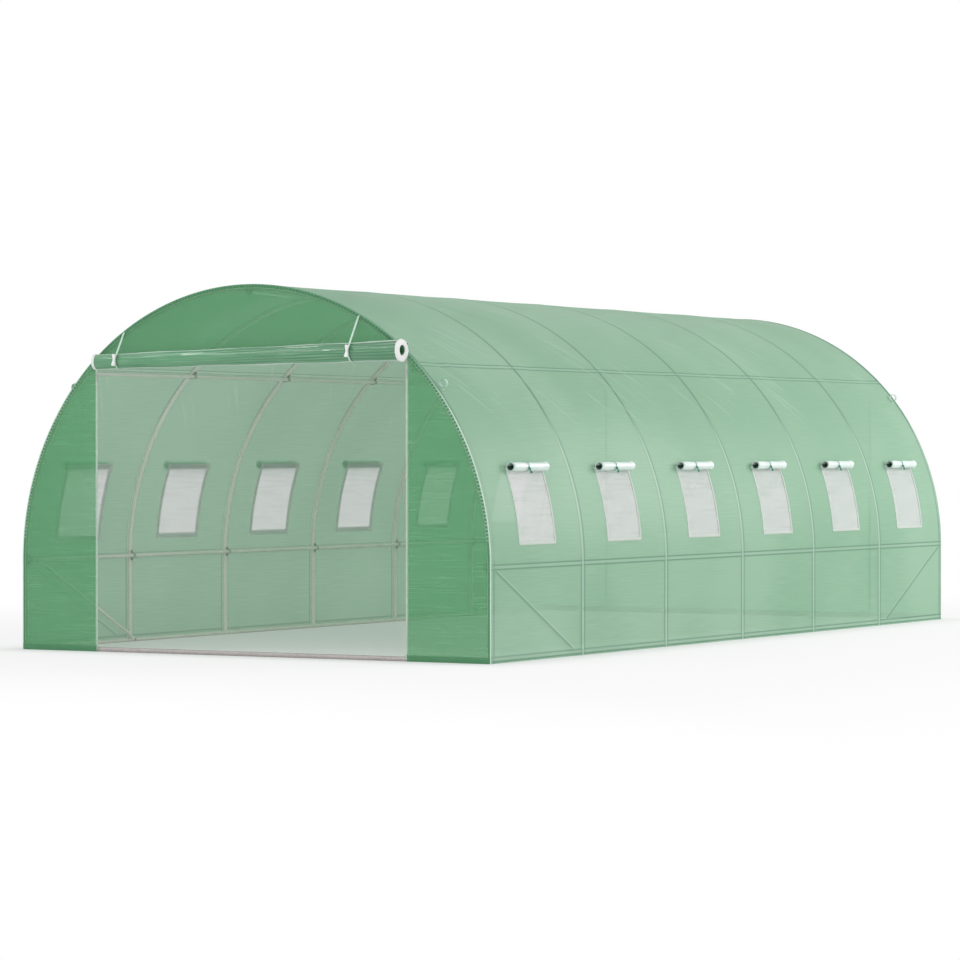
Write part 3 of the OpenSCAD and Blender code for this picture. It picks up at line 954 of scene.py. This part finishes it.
def make_roll_hems():
    """Two narrow tapes along the rolled door, by its lower and its upper edge."""
    inset, cell = 0.012, 0.0016
    columns = steps([ROLL_LOW + inset, ROLL_HIGH - inset], 0.04)
    grids = []
    for degrees in (101, 247):
        middle = 1 - degrees / 360 / ROLL_TURNS
        rows = [middle + k * cell for k in (-1.5, -0.5, 0.5, 1.5)]
        grids.append((columns, rows, lambda x, turn: roll_point(x, turn, 0.0011), None))
    hems = flat_sheet("door_roll_hems", grids)
    return sew(hems, ROLL_TAPE_T, WEBBING, 0.0)


def flap_seat(side):
    """Middle of the rolled flaps on one side, and the directions out of and up the cover there."""
    point, out = girth(from_left(side, HEAD), FIT)
    return point + out * (FLAP_R - 0.0004), out, uphill(side, out)


def make_flap(name, side, middle):
    """A window flap wound up to the head of its window, flared at its two ends."""
    centre, out, up = flap_seat(side)
    half, lip = FLAP_L / 2, 0.006
    outer = FLAP_R / (1 + FLAP_FLARE) - FLAP_T * 0.6
    columns = steps([-half, -half + lip, -half + FLAP_END, half - FLAP_END, half - lip, half], 0.032)
    count = int(FLAP_TURNS * 18)
    rows = [k / count for k in range(count + 1)]

    def place(along, turn):
        end = smooth(abs(along), half - FLAP_END, half)
        waist = 1 - 0.045 * math.exp(-((along - FLAP_TIE_Y) / 0.03) ** 2)
        radius, turned = winding(turn, FLAP_CORE, outer, FLAP_TURNS)
        radius += (outer * (0.67 + 0.33 * turn) - radius) * end
        radius = (radius + 0.0005 * math.cos(5 * turned + 17 * along)) * (1 + FLAP_FLARE * end) * waist
        spot = centre - out * (radius * math.cos(turned)) - up * (radius * math.sin(turned))
        spot.y = middle + along
        return spot

    flap = flat_sheet(name, [(columns, rows, place, None)], turned=side < 0)
    length = path_length([place(0.1, turn) for turn in rows])
    relay(flap, lambda along, turn: (turn * length, along))
    sew(flap, FLAP_T, FILM, 0.0)
    # The inner turns take the near-black painted shade.
    flap.data.materials.append(HEM_SHADE)
    flat = flap.data.uv_layers[0].data
    for face in flap.data.polygons:
        face.material_index = 1 if flat[face.loop_start].uv[0] < FLAP_HEM_SHADE * length else 0
    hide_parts(SIDES[side] + "_window_flaps")


def make_screen(name, side, middle):
    """Insect screen behind a window, with its hem against the inside of the cover."""
    low, high = SILL - SCREEN_HEM, HEAD + SCREEN_HEM
    half, cell = WINDOW_W / 2, 0.026
    heights = steps([low, SILL, HEAD, high], cell)
    columns = steps([-half - SCREEN_HEM, -half, half, half + SCREEN_HEM], cell)

    def place(height, along):
        inner = min(height - low, high - height, half + SCREEN_HEM - abs(along))
        belly = 0.004 * smooth(inner, 0.02, 0.16)
        belly += 0.0008 * math.sin(40 * height + 11 * along) * smooth(inner, 0.01, 0.05)
        return on_cover(from_left(side, height), middle + along, -SCREEN_BACK - belly)

    screen = flat_sheet(name, [(heights, columns, place, None)], turned=side < 0)
    sew(screen, SCREEN_T, MESH)
    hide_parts(SIDES[side] + "_window_screens")


def make_bindings(side):
    """Tape bound round the window openings, just inside their edges."""
    lap, tape, cell = BINDING_LAP, BINDING_W, 0.034
    heights = steps([SILL - lap, SILL - lap + tape, HEAD + lap - tape, HEAD + lap], cell)
    half = WINDOW_W / 2 + lap
    widths = steps([-half, tape - half, half - tape, half], cell)
    grids = []

    def place(height, y):
        return on_cover(from_left(side, height), y, BINDING_OUT)

    for middle in WINDOW_Y:
        def hole(height, y, middle=middle):
            inside = SILL - lap + tape < height < HEAD + lap - tape
            return inside and abs(y - middle) < half - tape

        grids.append((heights, [middle + w for w in widths], place, hole))
    bindings = flat_sheet(SIDES[side] + "_window_bindings", grids, turned=side < 0)
    sew(bindings, BINDING_T, BINDING)


# Trim

def rod(vertices, radius, length):
    """A round bar that lies along x."""
    deselect()
    bpy.ops.mesh.primitive_cylinder_add(vertices=vertices, radius=radius, depth=length,
                                        rotation=(0, math.pi / 2, 0))
    settle()
    return bpy.context.object


def block(size, place, bevel, segments=2):
    """A bar or plate with rounded edges, in place."""
    deselect()
    bpy.ops.mesh.primitive_cube_add(size=1, location=place)
    made = bpy.context.object
    made.scale = size
    settle()
    open_mesh()
    bpy.ops.mesh.bevel(offset=bevel, segments=segments, affect="EDGES")
    bpy.ops.uv.cube_project(cube_size=1.0)
    close_mesh()
    return made


def make_piping(name, y):
    """Round piping sewn into the seam where the cover meets an end wall."""
    deselect()
    bpy.ops.mesh.primitive_circle_add(vertices=10, radius=PIPING_R, location=(RADIUS - PIPING_IN, y, 0))
    piping = bpy.context.object
    piping.name = name
    settle()
    open_mesh()
    bpy.ops.mesh.extrude_region_move(TRANSFORM_OT_translate={"value": (0, 0, LEG)})
    bpy.ops.mesh.spin(steps=120, angle=math.pi, center=(0, y, LEG), axis=(0, 1, 0))
    bpy.ops.mesh.extrude_region_move(TRANSFORM_OT_translate={"value": (0, 0, -LEG)})
    bpy.ops.mesh.select_all(action="SELECT")
    bpy.ops.mesh.remove_doubles(threshold=0.0001)
    bpy.ops.mesh.fill_holes(sides=0)
    bpy.ops.mesh.normals_make_consistent(inside=False)
    bpy.ops.uv.smart_project()
    close_mesh()
    dress(piping, PIPING, SHEET_ANGLE)


def stitch_pattern(length=STITCH_L, radius=STITCH_R):
    """One stitch: a short thread lying along x, sunk a little at its ends."""
    stitch = rod(6, radius, length)
    open_mesh()
    bpy.ops.mesh.bisect(plane_co=(0, 0, 0), plane_no=(1, 0, 0))
    bpy.ops.transform.translate(value=(0, 0, radius * 0.66))
    close_mesh()
    return stitch


def seam_places(path, outs, pitch=STITCH_PITCH, across=False):
    """Places of the stitches along or across a path, each with the direction that the cloth faces there."""
    made = []
    run = pitch / 2
    for (a, b), out in zip(zip(path, path[1:]), outs):
        length = (b - a).length
        while run < length:
            way = (b - a) * 0.3 + out.cross(b - a) if across else b - a
            made.append(seat(a + (b - a) * (run / length), way, out))
            run += pitch
        run -= length
    return made


def arch_path(inset, y, out=0.0, start=0.0):
    """Points round the profile at an inset from it, and the way the cover faces between them."""
    marks = steps([start, GIRTH - start] if start > LEG else [0, LEG, LEG + ARC, GIRTH], 0.05)
    points = [on_cover(s, y, out - inset) for s in marks]
    ways = [girth((a + b) / 2)[1] for a, b in zip(marks, marks[1:])]
    return points, ways


def window_seams(side, middle):
    """Places of the stitches round one window's binding."""
    inset = BINDING_LAP - BINDING_W * 0.3
    left, right = middle - WINDOW_W / 2 - inset, middle + WINDOW_W / 2 + inset
    heights = steps([SILL - inset, HEAD + inset], 0.05)

    def spot(height, y):
        return on_cover(from_left(side, height), y, BINDING_OUT + FIT)

    def facing(height):
        return girth(from_left(side, height))[1]

    made = []
    for y in (left, right):
        ways = [facing((a + b) / 2) for a, b in zip(heights, heights[1:])]
        made += seam_places([spot(height, y) for height in heights], ways)
    for height in (heights[0], heights[-1]):
        made += seam_places([spot(height, left), spot(height, right)], [facing(height)])
    return made


def make_stitching():
    stitch = stitch_pattern()
    lacing = stitch_pattern(LACING_L, LACING_R)
    seams, laces, edges = [], [], []
    out, corner, hem_z = HEM_T + FIT, 0.02, GROUND_HEM - 0.006
    for y, way in ENDS:
        face = y + way * (WALL_HEM_OUT + FIT)
        points, ways = arch_path(LACING_INSET, face, start=LACING_START)
        laces += seam_places(points, [Vector((0, way, 0))] * len(ways), LACING_PITCH, across=True)
        points, ways = arch_path(WALL_HEM - 0.0005, face)
        edges += seam_places(points, [Vector((0, way, 0))] * len(ways), CLOSE_PITCH)
        points, ways = arch_path(0.0, y - way * EDGE_SEAM_STITCH, out)
        seams += seam_places(points, ways)
    for side in SIDES:
        skirt = [Vector((side * (RADIUS + out), y, hem_z)) for y in (FRONT + corner, REAR - corner)]
        seams += seam_places(skirt, [Vector((side, 0, 0))])
        for y, way in ENDS:
            span = (DOOR_X + corner, RADIUS - corner)
            jamb = [Vector((side * x, y + way * out, hem_z)) for x in span]
            seams += seam_places(jamb, [Vector((0, way, 0))])
    repeat("cover_stitching", stitch, seams, THREAD)
    repeat("end_wall_lacing", lacing, laces, LACING)
    repeat("end_wall_stitching", stitch, edges, PALE_THREAD)
    for side, word in SIDES.items():
        rows = [place for middle in WINDOW_Y for place in window_seams(side, middle)]
        repeat(word + "_window_stitching", stitch, rows, PALE_THREAD)
    discard(stitch, lacing)


def slider_pattern():
    """Zip slider with its bridge and a long pull, lying on z = 0 and running along x."""
    body = block((0.020, 0.010, 0.0035), (0, 0, 0.00175), 0.0012)
    bridge = block((0.012, 0.003, 0.0022), (0, 0, 0.0044), 0.0008)
    only(bridge)
    open_mesh()
    bpy.ops.mesh.subdivide(number_cuts=1)
    close_mesh()
    pull = block((0.030, 0.007, 0.0014), (-0.020, 0, 0.0052), 0.0006)
    only(pull)
    open_mesh("DESELECT")
    close_mesh()
    inset_faces(pull, lambda way: abs(way.z) > 0.99, 0.0018, -0.0004)
    return join("zip_slider", [body, bridge, pull])


def make_zips():
    """Tapes, teeth and sliders: one half of each zip by the open doorway, both halves at the closed door."""
    tooth = block(TOOTH, (0, 0, TOOTH[2] / 2), 0.0007, 1)
    slider = slider_pattern()
    tape_out, tooth_out, slider_out, foot = 0.0008, 0.0011, 0.0012, 0.008
    ends = {"front": (FRONT, -1, 0.0065, (0.0028,), 1.525), "rear": (REAR, 1, 0.0, (-0.0018, 0.0018), 0.065)}
    for end, (y, way, shift, lanes, slider_z) in ends.items():
        tapes, teeth, sliders = [], [], []
        for side in SIDES:
            size = (ZIP_TAPE_W, ZIP_TAPE_T, DOOR_Z - 0.004)
            place = (side * (DOOR_X + shift), y + way * tape_out, DOOR_Z / 2 + NEAR)
            tapes.append(block(size, place, 0.0004, 1))
            count = int((DOOR_Z - 0.02) / TOOTH_PITCH)
            for n, lane in enumerate(lanes):
                run = [foot + TOOTH_PITCH * k + TOOTH_PITCH / 2 * n for k in range(count)]
                x = side * (DOOR_X + lane)
                teeth += [seat((x, y + way * tooth_out, z), (1, 0, 0), (0, way, 0)) for z in run]
            x = side * (DOOR_X + sum(lanes) / len(lanes))
            sliders.append(seat((x, y + way * slider_out, slider_z), (0, 0, 1), (0, way, 0)))
        tape = dress(join(end + "_zip_tapes", tapes), TAPE)
        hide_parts(end + "_zips")
        repeat(end + "_zip_teeth", tooth, teeth, TEETH)
        repeat(end + "_zip_sliders", slider, sliders, BOLT)
    discard(tooth, slider)


def bolt_pattern(across, head, washer_t=0.0012):
    """Hex head on a round washer, standing on z = 0."""
    deselect()
    bpy.ops.mesh.primitive_cylinder_add(vertices=20, radius=across * 0.62, depth=washer_t,
                                        location=(0, 0, washer_t / 2))
    washer = bpy.context.object
    bpy.ops.mesh.primitive_cylinder_add(vertices=6, radius=across / 2, depth=head,
                                        location=(0, 0, washer_t + head / 2))
    hexagon = bpy.context.object
    open_mesh()
    bpy.ops.mesh.bevel(offset=0.0006, segments=1, affect="EDGES")
    close_mesh()
    inset_faces(hexagon, lambda way: way.z > 0.99, 0.0010, -0.0003)
    return join("bolt", [washer, hexagon])


def make_bolts():
    """Two bolts on each clamp, and one through each end of a brace."""
    bolt = bolt_pattern(0.0095, 0.0045)
    places = []
    for y in HOOP_Y:
        for degrees in CLAMP_ANGLES:
            turned = math.radians(degrees)
            out = toward(turned)
            up = Vector((-math.sin(turned), 0, math.cos(turned)))
            for reach in (-EAR_REACH, EAR_REACH):
                spot = Vector((0, y, LEG)) + out * EAR_FACE_R + up * reach
                places.append(seat(spot, (0, 1, 0), -out))
    brace_ends = ((HOOP_Y[0] + BRACE_INSET, LEG), (HOOP_Y[1], BRACE_FOOT_Z),
                  (HOOP_Y[-1] - BRACE_INSET, LEG), (HOOP_Y[-2], BRACE_FOOT_Z))
    for side in SIDES:
        for y, z in brace_ends:
            places.append(seat((side * BRACE_FACE_X, y, z), (0, 1, 0), (-side, 0, 0)))
    repeat("clamp_bolts", bolt, places, BOLT, 30)
    discard(bolt)


def ribbon(path, way, width, cell=0.006):
    """Grid of a flat strap along a path; way is the direction across it."""
    spans = steps([-width / 2, width / 2], cell)

    def place(i, across):
        return path[i] + way * across

    return (list(range(len(path))), spans, place, None)


def make_straps(name, grids, pitch, thickness, offset, finish, turned=False):
    """Straps of ribbon grids; the pitch is the length between two points of a path."""
    straps = flat_sheet(name, grids, turned)
    relay(straps, lambda along, across: (along * pitch, across))
    return sew(straps, thickness, finish, offset)


def toggle_pattern(length, radius):
    """Turned toggle with a waist, lying along x."""
    toggle = rod(20, radius, length)
    open_mesh()
    bpy.ops.mesh.bevel(offset=radius * 0.35, segments=3, affect="EDGES", clamp_overlap=True)
    for share in (-0.34, -0.16, 0.0, 0.16, 0.34):
        bpy.ops.mesh.select_all(action="SELECT")
        bpy.ops.mesh.bisect(plane_co=(share * length, 0, 0), plane_no=(1, 0, 0))
    close_mesh()
    for corner in toggle.data.vertices:
        share = abs(corner.co.x) / (length / 2)
        waist = 0.56 + 0.44 * smooth(share, 0.10, 0.75)
        corner.co.y *= waist
        corner.co.z *= waist
    return toggle


def tie_path(x):
    """From the arch seam straight to the roll, over it, round its front and under it."""
    size, y, z = roll_form(x)
    radius = size * ROLL_LEFT_R + 0.0004
    fall, turn = 9, 30
    top = Vector((x, FRONT - 0.0008, arch_z(x) - 0.004))
    back = Vector((top.y - y, top.z - z))
    start = math.atan2(back.y, back.x) + math.acos(radius / back.length)

    def on_roll(turned):
        return Vector((x, y + radius * math.cos(turned), z + radius * math.sin(turned)))

    path = [top + (on_roll(start) - top) * k / fall for k in range(fall)]
    return path + [on_roll(start + (math.radians(345) - start) * k / turn) for k in range(turn + 1)]


def make_ties():
    """Webbing ties that hold the rolled door, each with a white toggle in front."""
    strap, stand = 0.0019, 0.0075
    grids, places = [], []
    for x in TIE_X:
        grids.append(ribbon(tie_path(x), Vector((1, 0, 0)), TIE_W))
        size, y, z = roll_form(x)
        front = y - size * ROLL_LEFT_R - strap - stand
        places.append(seat((x - 0.001, front, z + 0.004), (0.10, 0, 1), (0, -1, 0)))
    straps = make_straps("front_door_tie_straps", grids, 0.008, TIE_T, 1.0, WEBBING)
    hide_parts("front_door_ties")
    toggle = toggle_pattern(*TIE_TOGGLE)
    repeat("front_door_toggles", toggle, places, WHITE_TOGGLE, 50)
    discard(toggle)


def make_flap_ties():
    """Narrow strap round the middle of each rolled flap, with a dark toggle under it."""
    toggle = toggle_pattern(*FLAP_TOGGLE)
    strap_r, start, parts = FLAP_R * 0.918, math.radians(152), 24
    grids, places = [], []
    for side in SIDES:
        centre, out, up = flap_seat(side)
        for middle in WINDOW_Y:
            ring = []
            for k in range(parts + 1):
                turned = start - 2 * start * k / parts
                spot = centre + out * (strap_r * math.cos(turned)) + up * (strap_r * math.sin(turned))
                spot.y = middle + FLAP_TIE_Y
                ring.append(spot)
            grids.append(ribbon(ring, Vector((0, side, 0)), FLAP_STRAP_W, FLAP_STRAP_W / 2))
            fall = Vector((0, 0.25, 0)) - up
            hang = centre + (out * 0.70 - up * 0.71) * (strap_r + FLAP_TOGGLE[1]) + fall * 0.0070
            hang.y += middle + FLAP_TIE_Y
            places.append(seat(hang, fall, out))
    make_straps("window_flap_straps", grids, 0.006, FLAP_STRAP_T, 0.0, FLAP_TIE, turned=True)
    repeat("window_flap_toggles", toggle, places, GREEN_TOGGLE, 50)
    discard(toggle)


def make_guy_loops():
    """Webbing loops that stand on the cover, each sewn down through a patch."""
    stitch = stitch_pattern()
    loop_pitch, patch_pitch, parts = 0.003, 0.0038, 48
    patch_out, seam_out = 0.0006, 0.0017
    a, b = PATCH_SEAM
    corners = [(-a, -b), (a, -b), (a, b), (-a, b), (-a, -b), (a, b), (a, -b), (-a, b)]
    loops, patches, stitches = [], [], []
    for side in SIDES:
        turned = LOOP_ANGLE if side > 0 else math.pi - LOOP_ANGLE
        out = toward(turned)
        up = uphill(side, out)
        across = Vector((0, side, 0))
        for y in (FRONT + LOOP_Y, REAR - LOOP_Y):
            base = Vector((0, y, LEG)) + out * (RADIUS + FIT)
            ring = []
            for k in range(parts + 1):
                angle = math.tau * k / parts
                lift = LOOP_RISE - LOOP_R * math.cos(angle)
                ring.append(base + out * max(LOOP_T, lift) + up * (LOOP_R * math.sin(angle)))
            loops.append(ribbon(ring, across, LOOP_W, 0.0065))
            spread = [base + out * patch_out + up * ((k - 7) * patch_pitch) for k in range(15)]
            patches.append(ribbon(spread, across, PATCH_W))
            path = [base + out * seam_out + up * high + Vector((0, aside, 0)) for high, aside in corners]
            stitches += seam_places(path, [out] * (len(path) - 1), CLOSE_PITCH)
    straps = make_straps("guy_loop_straps", loops, loop_pitch, LOOP_T, 0.0, LOOP, turned=True)
    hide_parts("guy_loops")
    make_straps("guy_loop_patches", patches, patch_pitch, PATCH_T, 1.0, WEBBING)
    repeat("guy_loop_stitching", stitch, stitches, PALE_THREAD)
    discard(stitch)


def finish_tubes():
    # The rails on the ground take the darker tube as painted shade.
    finishes = {"saddle_clamps": CLAMP, "front_base_rail": SHADED_GROUND_TUBE, "rear_base_rail": SHADED_GROUND_TUBE}
    for name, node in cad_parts.items():
        if node.hide_render:
            continue
        node.data.materials.clear()
        node.data.materials.append(finishes.get(name, TUBE))


# Studio

def seen_rays(shade):
    """1 for rays from the camera, also by way of gloss and glass."""
    ray = shade.node("ShaderNodeLightPath")
    return ray.most(ray.output(3), ray.output(6))


def make_stage():
    """White floor that keeps the tunnel's shadow, darkest under it."""
    deselect()
    bpy.ops.mesh.primitive_plane_add(size=120, location=(0, 0, -0.0005))
    floor = bpy.context.object
    floor.name = "studio_floor"
    made, shade = new_material("studio_floor")
    white = shade.node("ShaderNodeEmission", {"Color": rgb(1, 1, 1), "Strength": 1.0})
    matt = shade.node("ShaderNodeBsdfDiffuse", {"Color": rgb(0.86, 0.86, 0.86)})
    spot = object_place(shade).parts()
    off = (abs(spot) - RADIUS).most(abs(spot.output(1) - MID_Y) - HALF_L)
    pale = 0.20 + off.step(-0.10, 0.35) * 0.52 + off.step(1.0, 4.5) * 0.28
    put_out(made, shade.mixed(seen_rays(shade) * pale, matt, white))
    floor.data.materials.append(made)


def make_world():
    world = bpy.data.worlds.new("studio")
    world.use_nodes = True
    bpy.context.scene.world = world
    world.node_tree.nodes.clear()
    shade = Shade(world.node_tree)
    strength = 0.80 + seen_rays(shade) * 0.20
    light = shade.node("ShaderNodeBackground", {"Color": rgb(1, 1, 1), "Strength": strength})
    put_out(world, light, "ShaderNodeOutputWorld")


def make_lamp(name, place, target, size, power):
    lamp = bpy.data.lights.new(name, "AREA")
    lamp.shape = "RECTANGLE"
    lamp.size, lamp.size_y = size
    lamp.energy = power
    stand = link_new(name, lamp)
    stand.location = place
    stand.rotation_euler = (Vector(target) - Vector(place)).to_track_quat("-Z", "Y").to_euler()


def make_camera():
    lens = bpy.data.cameras.new("camera")
    lens.lens = 139.05
    lens.sensor_width = 36.0
    lens.clip_end = 400
    camera = link_new("camera", lens)
    camera.location = (10.980, -19.690 + MID_Y, 1.0929)
    camera.rotation_euler = (math.radians(89.586), 0, math.radians(29.762))
    bpy.context.scene.camera = camera


make_camera()
make_stage()
make_world()
make_lamp("right_softbox", (9.5, 8.5, 4.8), (1.2, 1.0, 1.0), (9.0, 6.0), 690)
make_lamp("top_strip", (-6.1, -8.5, 9.0), (0.0, -2.8, 1.6), (3.0, 0.5), 80)
make_lamp("front_softbox", (1.5, -11.0, 2.4), (0.0, -1.0, 1.1), (4.0, 3.0), 100)
bpy.context.scene.view_settings.view_transform = "Standard"

make_cover()
make_end_wall("front_wall", FRONT, 1, ["front_left_panel", "front_right_panel", "front_top_panel"])
make_end_wall("rear_wall", REAR, -1, ["rear_left_panel", "rear_right_panel", "rear_top_panel"])
make_rear_door()
door_roll, door_length = make_door_roll()
roll_trim = [make_roll_edges(), make_roll_hems()]
for side, word in SIDES.items():
    for number, middle in enumerate(WINDOW_Y, 1):
        make_screen(f"{word}_window_screen_{number}", side, middle)
        make_flap(f"{word}_window_flap_{number}", side, middle)
    make_bindings(side)
make_piping("front_piping", FRONT + PIPING_IN)
make_piping("rear_piping", REAR - PIPING_IN)
make_stitching()
make_zips()
make_bolts()
make_ties()
make_flap_ties()
make_guy_loops()
finish_tubes()
